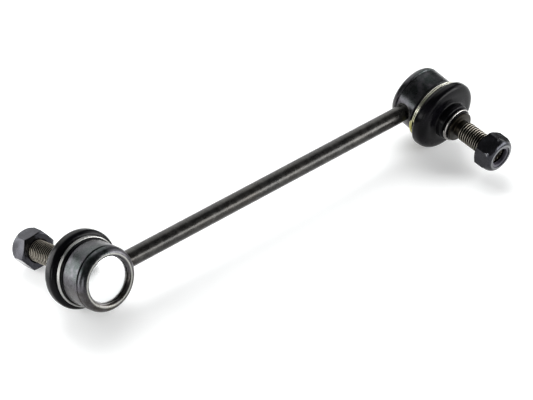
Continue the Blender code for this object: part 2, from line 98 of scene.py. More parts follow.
BALL_RADIUS = 7.0
BALL_FOOT_ANGLE = 62.0
NECK_RADIUS = 4.1
NECK_TOP = 11.0
SHANK_RADIUS = 5.0
SHANK_TAPER = 2.2
BOOT_SEAT_START = 16.495
BOOT_SEAT_RADIUS = 5.9
FLANGE_RADIUS = 7.4
FLANGE_FACE = 23.87
FLANGE_THICKNESS = 1.0
FLANGE_CHAMFER = 0.4
FLANGE_BACK_CHAMFER = 0.2
FLANGE_FILLET = 0.5
RUNOUT_RADIUS = 4.35
THREAD_START = 26.27
THREAD_RADIUS = 4.93
THREAD_PITCH = 1.25
THREAD_DEPTH = 0.77
THREAD_ROOT = 0.2                # share of half the pitch that the root takes
THREAD_FLANK = 0.66              # share of half the pitch that a flank takes
THREAD_HIGHLIGHT_SHARE = 0.9              # share of the depth above which a crest gets a painted highlight
STUD_END = 47.47
STUD_CHAMFER = 0.9
STUD_DISH = 0.15                 # depth of the dished end at its middle
STUD_DISH_STEP = 0.1             # its depth at the ring inside its edge
STUD_DISH_SHARE = 0.55           # that ring's radius as a share of the edge's

BASE_WIRE = 0.42
BASE_RING_RADIUS = 15.32
BASE_RING_HEIGHT = 6.885
BASE_RING_TURNS = 2.0
NECK_WIRE = 0.4
NECK_RING_RADIUS = 8.0
NECK_RING_HEIGHT = 21.533
NECK_RING_TURNS = 1.5
RING_TURN_GAP = 0.05
WIRE_END_STEPS = 2               # mesh steps in which a wire's end is drawn in
WIRE_END_SIZE = 0.35             # share of the wire's thickness left at its very end

BOOT_WALL = 1.7
BOOT_FIT = 0.05                  # gap from the rubber to its seats and its rings
BULGE_RADIUS = 17.82
BULGE_HEIGHT = 10.595
BOOT_FRONT = 15.895
BOOT_SQUARENESS = 3.4            # exponent of the crown's curve, 2 is an ellipse
BOOT_SHOULDER = 8.495
BOOT_BASE = 5.185
BULGE_FOOT = 0.15                # how far above the shoulder the bulge's underside ends
BULGE_UNDERCUT = 0.7             # and how far outside the base ring's groove
SHOULDER_CHAMFER = 0.2
LIP_CHAMFER = 0.25
BEAD_COVER = 0.3                 # gap over the spigot's bead
INSIDE_TUCK = 0.8                # how far the bellows' inside draws in just below its widest
INSIDE_DROP = 1.2                # and over what height
COLLAR_RADIUS = 9.1
COLLAR_ROUND = 0.9
COLLAR_CREASE = 0.8
CREASE_LIFT = 0.15               # from the bellows' front up to the crease's floor
COLLAR_TOP = 20.095
NECK_EDGE_WIDTH = 0.2
NECK_EDGE_HEIGHT = 0.15
BOOT_END = 22.57
INSIDE_FOOT = 1.1                # how far outside the bore the bellows' inside ends
SEAT_FLARE = 0.4                 # the bore opens by this much below the stud's boot seat

NUT_FLATS = 16.0
NUT_HEIGHT = 9.8
NUT_HEX_HEIGHT = 5.6
NUT_FACE_RADIUS = 7.7
NUT_CROWN_RADIUS = 6.2
NUT_CROWN_EDGE = 0.5             # from the crown's foot to the hexagon's widest
NUT_LIP_RADIUS = 5.7
NUT_LIP_SLOPE = 0.1
NUT_CORNER_MARGIN = 0.3          # how far the rounding form passes the hexagon's corners
NUT_CHAMFER_SLOPE = 0.58         # height for each millimetre of radius, at the bearing face
NUT_BEVEL = 0.2
NUT_TURN = {"left": -5.6, "right": 34.0}    # degrees about the stud
BORE_GAP = 0.1                   # from the thread's crests to the nut's bore
COUNTERSINK = 1.0                # how far the bore opens past the thread at the bearing face
COUNTERSINK_DEPTH = 0.7
COUNTERSINK_PASS = 0.2           # how far its cone goes on past the face
TOOL_MARGIN = 1.0                # how far the bore's cutter passes the nut's ends
INSERT_BORE = 4.45               # nylon that the thread has not cut into yet
INSERT_RADIUS = 6.7
INSERT_TOP = 9.3
INSERT_FOOT = 7.3
INSERT_SIDE_GAP = 0.12           # from the nylon to the nut's groove, all round
INSERT_TOP_GAP = 0.08
INSERT_FOOT_GAP = 0.1
INSERT_CORNER = 0.3
INSERT_ROUND_HEIGHT = 0.35       # rounding where the bore meets the top
INSERT_ROUND_WIDTH = 0.1

# Finish: the steel coat with its painted floor reflection and painted shade, and the painted highlights on
# the nuts

PAINTED_REFLECTION_HEIGHT = 36.0                # height over which the coat goes from a warm painted floor reflection low down to green-black painted shade
NUT_PAINTED_HIGHLIGHT = 0.45                  # how bright the painted highlight on the nut's edge faces is, as a share of bare steel
CORNER_TURN = 8.0                # least angle from a flat's direction, in degrees
SIDE_TILT = 0.3                  # most that a side face's normal leans along the nut's axis
CRIMP_DEPTH = 0.2                # how far the painted highlight on the crimp reaches down from the nut's top
CRIMP_WIDTH = 0.25               # and out past the crown's edge

# Mesh steps

ROUND_STEPS = 128
ROD_STEPS = 96
DOME_STEPS = 16
THREAD_STEPS = 72
THREAD_ROWS = 10                 # rows of the mesh in each turn of a thread
SAME_PLACE = 0.0005              # points nearer than this are merged

# Floor and light: brightness relative to white, lengths in metres

FLOOR_REACH = 6.0                # from the object to the floor's edge
FLOOR_GLOW = 0.26                # what the floor adds for the camera and for reflections
ROOM_LIGHT = 0.10                # the dim room round the table
GLOW_CORE = 1 / 3                # share of a glow's reach that has its full strength
LAMP_TARGET = Vector((0.0, 0.0, 0.02))      # every lamp faces this point

# Camera: metres and degrees, fitted to the rims, rings, rod and nuts that the photo shows

CAMERA_LENS = 143.559
CAMERA_PLACE = (-0.52829, -0.58489, 0.57028)
CAMERA_TURN = (54.603, 0.616, -42.454)


# Axes of the two joints

def joint(name):
    return next(j for j in frame["joints"] if j["name"] == name)


def axes(side, part):
    """Matrix from the joint's millimetres to the frame's metres, for the cup or for the stud."""
    spin = joint(f"{side}_spin")
    swing = joint(f"{side}_swing")
    centre = Vector(spin["pos_m"])
    out = Vector(spin["axis"]).normalized()
    if part == "cup":
        # the stud swings equally far to both sides of the cup's axis
        low, high = swing["range_deg"]
        hinge = Matrix.Rotation(radians((low + high) / 2), 3, Vector(swing["axis"]))
        out = hinge @ out
    along = rod_direction(side)
    across = out.cross(along).normalized()
    turn = Matrix((along, across, out)).transposed().to_4x4()
    return Matrix.Translation(centre) @ turn @ Matrix.Scale(MM, 4)


def rod_direction(side):
    return Vector((1.0, 0.0, 0.0)) if side == "left" else Vector((-1.0, 0.0, 0.0))


def nut_face(side):
    """Height of the nut's bearing face along the stud."""
    pivot = Vector(joint(f"{side}_nut_turn")["pos_m"])
    return (axes(side, "stud").inverted() @ pivot).z


# Node materials

def math_node(tree, operation, first, second):
    node = tree.nodes.new("ShaderNodeMath")
    node.operation = operation
    for socket, value in zip(node.inputs, (first, second)):
        if isinstance(value, bpy.types.NodeSocket):
            tree.links.new(value, socket)
        else:
            socket.default_value = value
    return node.outputs[0]


class Nodes:
    """A material's node tree with short ways to add and join nodes."""

    def __init__(self, name):
        self.material = bpy.data.materials.new(name)
        self.material.use_nodes = True
        self.tree = self.material.node_tree
        self.shader = self.tree.nodes["Principled BSDF"]
        self.place = self.add("ShaderNodeTexCoord").outputs["Object"]

    def add(self, kind, **values):
        node = self.tree.nodes.new(kind)
        for key, value in values.items():
            setattr(node, key, value)
        return node

    def link(self, source, target):
        self.tree.links.new(source, target)

    def noise(self, scale, detail=3.0, rough=0.55, stretch=(1.0, 1.0, 1.0)):
        mapping = self.add("ShaderNodeMapping")
        mapping.inputs["Scale"].default_value = stretch
        self.link(self.place, mapping.inputs["Vector"])
        node = self.add("ShaderNodeTexNoise")
        node.inputs["Scale"].default_value = scale
        node.inputs["Detail"].default_value = detail
        node.inputs["Roughness"].default_value = rough
        self.link(mapping.outputs["Vector"], node.inputs["Vector"])
        return node.outputs["Fac"]

    def ramp(self, source, stops):
        node = self.add("ShaderNodeValToRGB")
        ramp = node.color_ramp
        while len(ramp.elements) < len(stops):
            ramp.elements.new(0.5)
        for element, (place_at, colour) in zip(ramp.elements, stops):
            element.position = place_at
            element.color = (*colour, 1.0)
        self.link(source, node.inputs["Fac"])
        return node.outputs["Color"]

    def spread(self, source, low, high, start=0.3, end=0.7):
        node = self.add("ShaderNodeMapRange")
        node.inputs["From Min"].default_value = start
        node.inputs["From Max"].default_value = end
        node.inputs["To Min"].default_value = low
        node.inputs["To Max"].default_value = high
        self.link(source, node.inputs["Value"])
        return node.outputs["Result"]

    def mix(self, share, first, second):
        node = self.add("ShaderNodeMix", data_type="RGBA")
        # the first sockets of these names belong to other data types
        factor = node.inputs["Factor"]
        a, b = [socket for socket in node.inputs if socket.type == "RGBA"]
        for socket, value in ((factor, share), (a, first), (b, second)):
            self.put(socket, value)
        return next(socket for socket in node.outputs if socket.type == "RGBA")

    def put(self, socket, value):
        if isinstance(value, bpy.types.NodeSocket):
            self.link(value, socket)
        elif isinstance(value, tuple) and len(value) == 3:
            socket.default_value = (*value, 1.0)
        else:
            socket.default_value = value

    def bump(self, height, distance, strength=1.0, normal=None):
        node = self.add("ShaderNodeBump")
        node.inputs["Strength"].default_value = strength
        node.inputs["Distance"].default_value = distance * MM
        self.link(height, node.inputs["Height"])
        if normal is not None:
            self.link(normal, node.inputs["Normal"])
        return node.outputs["Normal"]

    def height(self):
        """Height above the floor, in metres."""
        split = self.add("ShaderNodeSeparateXYZ")
        self.link(self.place, split.inputs[0])
        return split.outputs["Z"]

    def attribute(self, name):
        return self.add("ShaderNodeAttribute", attribute_name=name).outputs["Fac"]

    def finish(self, colour, roughness, metallic, normal=None, **constants):
        self.put(self.shader.inputs["Base Color"], colour)
        self.put(self.shader.inputs["Roughness"], roughness)
        self.shader.inputs["Metallic"].default_value = metallic
        if normal is not None:
            self.link(normal, self.shader.inputs["Normal"])
        for name, value in constants.items():
            self.shader.inputs[name.replace("_", " ")].default_value = value
        return self.material


def coated_steel(name, tints, roughness, metallic, painted_highlight_colour=None):
    """Dark phosphate coat: tints painted by height (a warm painted floor reflection low down, green-black
    painted shade higher up), small blotches, fine grain, faint pits.
    """
    n = Nodes(name)
    patches = n.spread(n.noise(60.0, 2.0, 0.5), -0.25, 0.25)
    # painted floor reflection and painted shade: lighter and warmer low down, green-black higher up
    painted_reflection_share = n.spread(n.height(), 1.0, 0.0, 0.0, PAINTED_REFLECTION_HEIGHT * MM)
    tone_and_painted_reflection = math_node(n.tree, "ADD", painted_reflection_share, patches)
    blotch = n.noise(260.0, 4.0, 0.62)
    grain = n.noise(1900.0, 3.0, 0.6)
    first, second, third = tints
    # first is the green-black painted shade high up, third the warm painted floor reflection low down
    colour = n.ramp(tone_and_painted_reflection, [(0.0, first), (0.30, second), (0.80, third)])
    colour = n.mix(n.spread(blotch, 0.0, 0.60, 0.46, 0.66), colour, tuple(c * 2.2 for c in second))
    colour = n.mix(n.spread(grain, 0.0, 0.6, 0.48, 0.72), colour, tuple(c * 0.30 for c in first))
    # painted highlights on the marked crests and edges
    if painted_highlight_colour:
        colour = n.mix(n.attribute("painted_highlight"), colour, painted_highlight_colour)
    normal = n.bump(grain, 0.014, 0.6)
    normal = n.bump(n.noise(700.0, 3.0, 0.6), 0.06, 0.5, normal)
    return n.finish(colour, n.spread(blotch, roughness - 0.05, roughness + 0.08), metallic, normal)


def rod_steel():
    return coated_steel("rod_steel", ((0.028, 0.028, 0.028), (0.034, 0.033, 0.031), (0.042, 0.038, 0.034)),
                        0.27, 0.85)


def cup_steel():
    # the last colour is the painted highlight on the rim's crest
    return coated_steel("cup_steel", ((0.030, 0.037, 0.036), (0.048, 0.045, 0.051), (0.060, 0.054, 0.045)),
                        0.28, 0.92, painted_highlight_colour=(0.42, 0.42, 0.39))


def nut_steel():
    # the last colour is the painted highlight on the nut's edges
    return coated_steel("nut_steel", ((0.020, 0.025, 0.025), (0.028, 0.029, 0.034), (0.038, 0.037, 0.043)),
                        0.20, 0.92, painted_highlight_colour=(0.36, 0.37, 0.38))


def bright_plate():
    n = Nodes("bright_plate")
    cloud = n.noise(55.0, 1.0, 0.4)
    swirl = n.noise(900.0, 2.0, 0.5, (1.0, 0.15, 1.0))
    colour = n.ramp(cloud, [(0.40, (0.97, 0.97, 0.97)), (0.62, (0.88, 0.89, 0.89))])
    normal = n.bump(swirl, 0.004, 0.3)
    return n.finish(colour, n.spread(cloud, 0.16, 0.24), 1.0, normal)


def stud_steel():
    """Brown-black rolled steel, with a painted highlight on the thread's crests."""
    n = Nodes("stud_steel")
    cloud = n.noise(260.0, 3.0)
    body = n.ramp(cloud, [(0.3, (0.008, 0.007, 0.005)), (0.7, (0.024, 0.020, 0.014))])
    # painted highlight on the thread's crests
    colour = n.mix(n.attribute("painted_highlight"), body, (0.86, 0.80, 0.68))
    normal = n.bump(n.noise(1800.0, 2.0), 0.012, 0.5)
    return n.finish(colour, n.spread(cloud, 0.26, 0.40), 0.95, normal)


def spring_wire(name, bright, tint, tint_below):
    """Drawn wire; its tint, yellow on the right base ring, is mixed in where the ring lies low."""
    n = Nodes(name)
    patches = n.noise(70.0, 2.0, 0.5)
    low = n.spread(n.height(), 0.9, 0.0, tint_below * MM, (tint_below + 9.0) * MM)
    colour = n.mix(low, n.mix(n.spread(patches, 0.0, 0.3), bright, tint), tint)
    normal = n.bump(n.noise(2600.0, 2.0), 0.004, 0.4)
    return n.finish(colour, n.spread(patches, 0.20, 0.32), 1.0, normal)


def boot_rubber():
    n = Nodes("boot_rubber")
    cloud = n.noise(110.0, 3.0, 0.6)
    grain = n.noise(2200.0, 2.0, 0.6)
    colour = n.ramp(cloud, [(0.3, (0.0010, 0.0012, 0.0015)), (0.75, (0.0032, 0.0027, 0.0042))])
    normal = n.bump(grain, 0.006, 0.3)
    normal = n.bump(n.noise(240.0, 2.0), 0.03, 0.25, normal)
    return n.finish(colour, n.spread(cloud, 0.18, 0.30), 0.0, normal, Specular_IOR_Level=0.09)


def plain_plastic(name, dark, light, roughness):
    n = Nodes(name)
    cloud = n.noise(300.0, 2.0)
    colour = n.ramp(cloud, [(0.3, dark), (0.7, light)])
    normal = n.bump(n.noise(1500.0, 2.0), 0.01, 0.4)
    return n.finish(colour, roughness, 0.0, normal)


# Mesh tools

def arc(centre, radius, start, end, steps):
    """Points on a circle in the profile plane; angles run from +radius towards +height."""
    points = []
    for i in range(steps + 1):
        angle = radians(start + (end - start) * i / steps)
        points.append((centre[0] + radius * cos(angle), centre[1] + radius * sin(angle)))
    return points


def eased(share):
    """A share from 0 to 1 that leaves and arrives gently."""
    return share * share * (3 - 2 * share)


def ring_of(work, radius, height, steps):
    return [work.verts.new((radius * cos(2 * pi * i / steps), radius * sin(2 * pi * i / steps), height))
            for i in range(steps)]


def bridge(work, upper, lower):
    count = len(upper)
    for i in range(count):
        k = (i + 1) % count
        work.faces.new((upper[i], lower[i], lower[k], upper[k]))


def turned_rings(work, profile, steps):
    """Rings of vertices for a profile of (radius, height) points, joined in order by faces."""
    rings = []
    for radius, height in profile:
        if radius < 1e-6:
            rings.append([work.verts.new((0.0, 0.0, height))])
        else:
            rings.append(ring_of(work, radius, height, steps))
    for upper, lower in zip(rings, rings[1:]):
        join_rings(work, upper, lower, steps)
    return rings


def join_rings(work, upper, lower, steps):
    if len(upper) == 1:
        for i in range(steps):
            work.faces.new((upper[0], lower[i], lower[(i + 1) % steps]))
    elif len(lower) == 1:
        for i in range(steps):
            work.faces.new((upper[i], lower[0], upper[(i + 1) % steps]))
    else:
        bridge(work, upper, lower)


def turned(name, profile, steps=ROUND_STEPS, closed=True):
    """Turns a profile of (radius, height) points, listed down its outer side, about Z."""
    work = bmesh.new()
    rings = turned_rings(work, profile, steps)
    if closed:
        bridge(work, rings[-1], rings[0])
    return new_object(name, work)


def new_object(name, work):
    mesh = bpy.data.meshes.new(name)
    bmesh.ops.recalc_face_normals(work, faces=work.faces)
    work.to_mesh(mesh)
    work.free()
    made = bpy.data.objects.new(name, mesh)
    bpy.context.scene.collection.objects.link(made)
    return made


def shade(made, angle=35.0):
    made.data.shade_smooth()
    made.data.set_sharp_from_angle(angle=radians(angle))


def coil(name, radius, height, wire, turns, steps=96, sides=12):
    """Spring wire wound in a flat ring, its two ends rounded off."""
    work = bmesh.new()
    rise = turns * (2 * wire + RING_TURN_GAP)
    count = round(turns * steps)
    rings = []
    for i in range(count + 1):
        angle = 2 * pi * i / steps
        level = height + rise * (i / count - 0.5)
        radial = Vector((cos(angle), sin(angle), 0.0))
        centre = radial * radius + Vector((0.0, 0.0, level))
        drawn_in = max(0.0, 1 - min(i, count - i) / WIRE_END_STEPS)
        size = wire * max(sqrt(1 - drawn_in ** 2), WIRE_END_SIZE)
        rings.append([work.verts.new(centre + radial * (size * cos(a)) + Vector((0, 0, size * sin(a))))
                      for a in [2 * pi * k / sides for k in range(sides)]])
    for first, second in zip(rings, rings[1:]):
        bridge(work, first, second)
    work.faces.new(rings[0])
    work.faces.new(list(reversed(rings[-1])))
    return new_object(name, work)


def place(made, matrix):
    made.data.transform(matrix)
    return made


def dress(made, material, node):
    """Gives a piece its finish, and lets it stand for a node of the frame."""
    made.data.materials.clear()
    made.data.materials.append(material)
    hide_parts(node)


# Turned outlines

def cup_outline():
    """From the spigot's mouth down the outside, round the rolled rim and back up the bore."""
    groove = GROOVE_WIDTH / 2
    wide = CUP_RADIUS - RIM_CREST_RADIUS
    deep = CUP_COLLAR - groove - CUP_BACK
    inward = RIM_CREST_RADIUS - RIM_OPENING_RADIUS
    roll = [(RIM_CREST_RADIUS + wide * cos(t), CUP_COLLAR - groove - deep * sin(t))
            for t in [radians(a) for a in range(0, 91, 6)]]
    lip = [(RIM_CREST_RADIUS - inward * sin(t), CUP_BACK + RIM_ROLL * (1 - cos(t)))
           for t in [radians(a) for a in range(15, 91, 15)]]
    seat_back = PLATE_OUTSIDE - PLATE_PLAY
    seat_front = PLATE_OUTSIDE + PLATE_THICKNESS + PLATE_PLAY
    return [
        (SPIGOT_BORE, SPIGOT_TOP),
        (SPIGOT_RADIUS + SPIGOT_BEAD / 2, SPIGOT_TOP),
        (SPIGOT_RADIUS, SPIGOT_TOP - SPIGOT_BEAD),
        (SPIGOT_RADIUS, CUP_MOUTH),
        *arc((CUP_RADIUS - CUP_EDGE, CUP_MOUTH - CUP_EDGE), CUP_EDGE, start=90, end=0, steps=5),
        (CUP_RADIUS, CUP_COLLAR + groove + GROOVE_EDGE),
        (CUP_RADIUS - GROOVE_EDGE, CUP_COLLAR + groove),
        (CUP_RADIUS - GROOVE_DEPTH, CUP_COLLAR + GROOVE_FLOOR / 2),
        (CUP_RADIUS - GROOVE_DEPTH, CUP_COLLAR - GROOVE_FLOOR / 2),
        (CUP_RADIUS - COLLAR_EDGE, CUP_COLLAR - groove),
        *roll[1:],
        *lip,
        (RIM_OPENING_RADIUS, seat_back),
        (CUP_BORE + PLATE_SEAT, seat_back),
        (CUP_BORE + PLATE_SEAT, seat_front),
        (CUP_BORE, seat_front),
        (CUP_BORE, CUP_MOUTH - CUP_MOUTH_LIP),
        (MOUTH_RADIUS, CUP_MOUTH - CUP_MOUTH_LIP),
    ]


def plate_outline():
    """A dome that meets the rim's opening, listed from its inside round its edge to its outside."""
    edge = RIM_OPENING_RADIUS - PLATE_GAP
    ball = (edge ** 2 + PLATE_DOME ** 2) / (2 * PLATE_DOME)
    centre = PLATE_OUTSIDE - PLATE_DOME + ball
    angles = [asin(edge / ball) * k / DOME_STEPS for k in range(DOME_STEPS + 1)]
    outside = [(ball * sin(angle), centre - ball * cos(angle)) for angle in angles]
    inside = [(radius, height + PLATE_THICKNESS) for radius, height in outside]
    return inside + list(reversed(outside))


def boot_crown(side, foot, low, high, steps):
    """The bellows' rounded turn, from its foot near the collar out and down to its widest."""
    points = []
    for i in range(steps + 1):
        t = pi / 2 * (1 - i / steps)
        points.append((foot + (side - foot) * max(cos(t), 0.0) ** (2 / BOOT_SQUARENESS),
                       low + (high - low) * sin(t) ** (2 / BOOT_SQUARENESS)))
    return points


def boot_lower_outline():
    """Outer side from the widest turn down to the base lip, then back up the inside."""
    groove = BASE_RING_RADIUS - BASE_WIRE - BOOT_FIT
    under = BULGE_HEIGHT - BOOT_SHOULDER - BULGE_FOOT
    tuck = BULGE_RADIUS - groove - BULGE_UNDERCUT
    rounded = [(BULGE_RADIUS - tuck * (1 - cos(t)), BULGE_HEIGHT - under * sin(t))
               for t in [radians(a) for a in range(0, 91, 9)]]
    inside = BULGE_RADIUS - BOOT_WALL
    return [
        *rounded,
        (groove + SHOULDER_CHAMFER, BOOT_SHOULDER - SHOULDER_CHAMFER / 2),
        (groove, BOOT_SHOULDER - SHOULDER_CHAMFER / 2 - LIP_CHAMFER),
        (groove, BOOT_BASE + LIP_CHAMFER),
        (groove - LIP_CHAMFER, BOOT_BASE),
        (SPIGOT_RADIUS + BOOT_FIT, BOOT_BASE),
        (SPIGOT_RADIUS + SPIGOT_BEAD, SPIGOT_TOP + BEAD_COVER),
        (inside - INSIDE_TUCK, BULGE_HEIGHT - INSIDE_DROP),
        (inside, BULGE_HEIGHT),
    ]


def boot_upper_outline():
    """Outer side from the neck lip down to the widest turn, then back up the inside."""
    groove = NECK_RING_RADIUS - NECK_WIRE - BOOT_FIT
    bore = BOOT_SEAT_RADIUS + BOOT_FIT
    foot = COLLAR_RADIUS + COLLAR_CREASE
    crease = BOOT_FRONT + CREASE_LIFT + COLLAR_CREASE
    outer = boot_crown(BULGE_RADIUS, foot, BULGE_HEIGHT, BOOT_FRONT, steps=36)
    inner = boot_crown(BULGE_RADIUS - BOOT_WALL, bore + INSIDE_FOOT, BULGE_HEIGHT,
                       BOOT_FRONT - BOOT_WALL, steps=14)
    return [
        (groove - NECK_EDGE_WIDTH, BOOT_END),
        (groove, BOOT_END - NECK_EDGE_HEIGHT),
        (groove, COLLAR_TOP),
        *arc((COLLAR_RADIUS - COLLAR_ROUND, COLLAR_TOP - COLLAR_ROUND), COLLAR_ROUND,
             start=85, end=0, steps=6),
        *arc((foot, crease), COLLAR_CREASE, start=180, end=250, steps=6),
        # the crown's first two points lie within the crease's arc
        *outer[2:],
        *reversed(inner),
        (bore + SEAT_FLARE, BOOT_SEAT_START),
        (bore, BOOT_SEAT_START + SEAT_FLARE),
        (bore, BOOT_END),
    ]


# Threads

def thread_height(turn_share):
    """Share of the full depth at a place in the pitch: flat crest, straight flanks, flat root."""
    place_in_pitch = abs(turn_share % 1.0 - 0.5) * 2
    return min(max((place_in_pitch - THREAD_ROOT) / THREAD_FLANK, 0.0), 1.0)


def threaded_sleeve(work, start, end, base, chamfer, steps=THREAD_STEPS):
    """A helical thread on a shaft, run out at its start and chamfered at its end.

    Mesh rows follow the helix. Where they would pass an end they are pressed together there, so
    that each end closes on one ring.
    """
    rows = round((end - start) / THREAD_PITCH * THREAD_ROWS) + 2 * THREAD_ROWS
    painted_highlight = work.verts.layers.float.new("painted_highlight")
    root = THREAD_RADIUS - THREAD_DEPTH
    grid = []
    for i in range(steps):
        column = []
        for j in range(rows + 1):
            raw = start + (j / THREAD_ROWS - 1 + i / steps) * THREAD_PITCH
            level = min(max(raw, start), end)
            lift = thread_height(j / THREAD_ROWS)
            run_in = eased(min((level - start) / THREAD_PITCH, 1.0))
            radius = base + (root + THREAD_DEPTH * lift - base) * run_in
            radius = min(radius, THREAD_RADIUS - chamfer + (end - level))
            angle = 2 * pi * i / steps
            vertex = work.verts.new((radius * cos(angle), radius * sin(angle), level))
            # painted highlight on the crests
            vertex[painted_highlight] = max(0.0, (lift - THREAD_HIGHLIGHT_SHARE) / (1 - THREAD_HIGHLIGHT_SHARE)) * run_in
            column.append(vertex)
        grid.append(column)
    for i in range(steps):
        shift = THREAD_ROWS if i == steps - 1 else 0
        following = grid[(i + 1) % steps]
        for j in range(rows - shift):
            work.faces.new((grid[i][j], following[j + shift], following[j + shift + 1], grid[i][j + 1]))
    bmesh.ops.remove_doubles(work, verts=work.verts, dist=SAME_PLACE)


def stud_body():
    """Everything of the stud below its thread, from the run-out down to the ball's foot."""
    neck_angle = degrees(acos(NECK_RADIUS / BALL_RADIUS))
    back = FLANGE_FACE - FLANGE_THICKNESS
    return [
        (RUNOUT_RADIUS, THREAD_START),
        *arc((RUNOUT_RADIUS + FLANGE_FILLET, FLANGE_FACE + FLANGE_FILLET), FLANGE_FILLET,
             start=180, end=260, steps=4),
        (FLANGE_RADIUS - FLANGE_CHAMFER, FLANGE_FACE),
        *arc((FLANGE_RADIUS - FLANGE_CHAMFER, FLANGE_FACE - FLANGE_CHAMFER), FLANGE_CHAMFER,
             start=70, end=0, steps=3),
        (FLANGE_RADIUS, back + FLANGE_BACK_CHAMFER),
        (FLANGE_RADIUS - FLANGE_BACK_CHAMFER, back),
        (BOOT_SEAT_RADIUS, back),
        (BOOT_SEAT_RADIUS, BOOT_SEAT_START),
        (SHANK_RADIUS, BOOT_SEAT_START - SHANK_TAPER),
        (NECK_RADIUS, NECK_TOP),
        *arc((0.0, 0.0), BALL_RADIUS, start=neck_angle, end=-BALL_FOOT_ANGLE, steps=24),
        (0.0, -BALL_RADIUS * sin(radians(BALL_FOOT_ANGLE))),
    ]


def make_stud(side, finish):
    """The stud in one piece: thread, body and the dished end."""
    work = bmesh.new()
    threaded_sleeve(work, THREAD_START, STUD_END, RUNOUT_RADIUS, STUD_CHAMFER)
    turned_rings(work, stud_body(), THREAD_STEPS)
    end_ring = [v for v in work.verts if abs(v.co.z - STUD_END) < SAME_PLACE]
    end_ring.sort(key=lambda v: atan2(v.co.y, v.co.x))
    centre = work.verts.new((0.0, 0.0, STUD_END - STUD_DISH))
    inner = [work.verts.new((v.co.x * STUD_DISH_SHARE, v.co.y * STUD_DISH_SHARE, STUD_END - STUD_DISH_STEP))
             for v in end_ring]
    bridge(work, end_ring, inner)
    for i in range(len(inner)):
        work.faces.new((inner[i], centre, inner[(i + 1) % len(inner)]))
    bmesh.ops.remove_doubles(work, verts=work.verts, dist=SAME_PLACE)
    made = new_object(f"{side}_threaded_stud", work)
    place(made, axes(side, "stud"))
    shade(made, 40.0)
    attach(made, f"{side}_stud")
    dress(made, finish, f"{side}_ball_stud")


# The pieces

def make_rod(finish):
    """The bar, with each end flared into the small weld that follows the cup's round side."""
    work = bmesh.new()
    rings = []
    for side in SIDES:
        cup = axes(side, "cup")
        centre = cup.translation
        along = rod_direction(side)
        across = cup.col[1].to_3d().normalized()
        fillet = [(ROD_RADIUS + ROD_FILLET * (1 - sin(t)), ROD_FILLET * (1 - cos(t)))
                  for t in [radians(a) for a in range(0, 91, 15)]]
        sunk = (ROD_RADIUS + ROD_FILLET, -ROD_SINK)
        straight = (ROD_RADIUS, ROD_FILLET + ROD_LEAD)
        ends = []
        for radius, gap in [sunk, *fillet, straight]:
            ring = []
            for i in range(ROD_STEPS):
                angle = 2 * pi * i / ROD_STEPS
                offset = Vector((0.0, radius * cos(angle), radius * sin(angle)))
                surface = sqrt(CUP_RADIUS ** 2 - offset.dot(across) ** 2)
                ring.append(work.verts.new(centre + (along * (surface + gap) + offset) * MM))
            ends.append(ring)
        rings += ends if side == "left" else list(reversed(ends))
    for first, second in zip(rings, rings[1:]):
        bridge(work, first, second)
    work.faces.new(rings[0])
    work.faces.new(list(reversed(rings[-1])))
    made = new_object("rod_bar", work)
    shade(made, 50.0)
    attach(made, "root")
    dress(made, finish, "rod")


def make_cup(side, finishes):
    cup = axes(side, "cup")
    body = turned(f"{side}_cup_body", cup_outline())
    paint_crest_highlight(body)
    place(body, cup)
    shade(body, 30.0)
    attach(body, "root")
    dress(body, finishes["cup"], f"{side}_cup")
    plate = place(turned(f"{side}_cover_dome", plate_outline(), closed=False), cup)
    shade(plate, 40.0)
    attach(plate, "root")
    dress(plate, finishes["plate"], f"{side}_cover_plate")
    ring = coil(f"{side}_base_spring", BASE_RING_RADIUS, BASE_RING_HEIGHT, BASE_WIRE, BASE_RING_TURNS)
    place(ring, cup)
    shade(ring, 60.0)
    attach(ring, "root")
    dress(ring, finishes[f"{side}_base_ring"], f"{side}_base_ring")


def paint_crest_highlight(body):
    """The rolled rim gets a painted highlight along its crest."""
    painted_highlight = body.data.attributes.new("painted_highlight", "FLOAT", "POINT")
    for vertex, value in zip(body.data.vertices, painted_highlight.data):
        off_crest = abs(vertex.co.xy.length - RIM_CREST_RADIUS) / CREST_HIGHLIGHT_WIDTH
        on_back = vertex.co.z < CUP_BACK + RIM_ROLL
        value.value = max(0.0, 1.0 - off_crest) if on_back else 0.0


def make_boot(side, finish):
    """Two rubber pieces that meet on the bulge: the lower bends from the cup, the upper to the neck."""
    cup = axes(side, "cup")
    stud = axes(side, "stud")
    lower = turned(f"{side}_boot_lower", boot_lower_outline())
    upper = turned(f"{side}_boot_upper", boot_upper_outline())
    for made in (lower, upper):
        lean_to_stud(made, cup, stud)
        shade(made, 50.0)
        dress(made, finish, f"{side}_boot")
    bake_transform(lower)
    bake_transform(upper)


def lean_to_stud(made, cup, stud):
    """Places a boot piece: its base sits square on the cup and its neck square on the stud."""
    low, high = SPIGOT_TOP, BOOT_SEAT_START
    for vertex in made.data.vertices:
        share = eased(min(max((vertex.co.z - low) / (high - low), 0.0), 1.0))
        vertex.co = (cup @ vertex.co).lerp(stud @ vertex.co, share)


def make_neck_ring(side, finish):
    ring = coil(f"{side}_neck_spring", NECK_RING_RADIUS, NECK_RING_HEIGHT, NECK_WIRE, NECK_RING_TURNS)
    place(ring, axes(side, "stud"))
    shade(ring, 60.0)
    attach(ring, f"{side}_neck_tilt")
    dress(ring, finish, f"{side}_neck_ring")


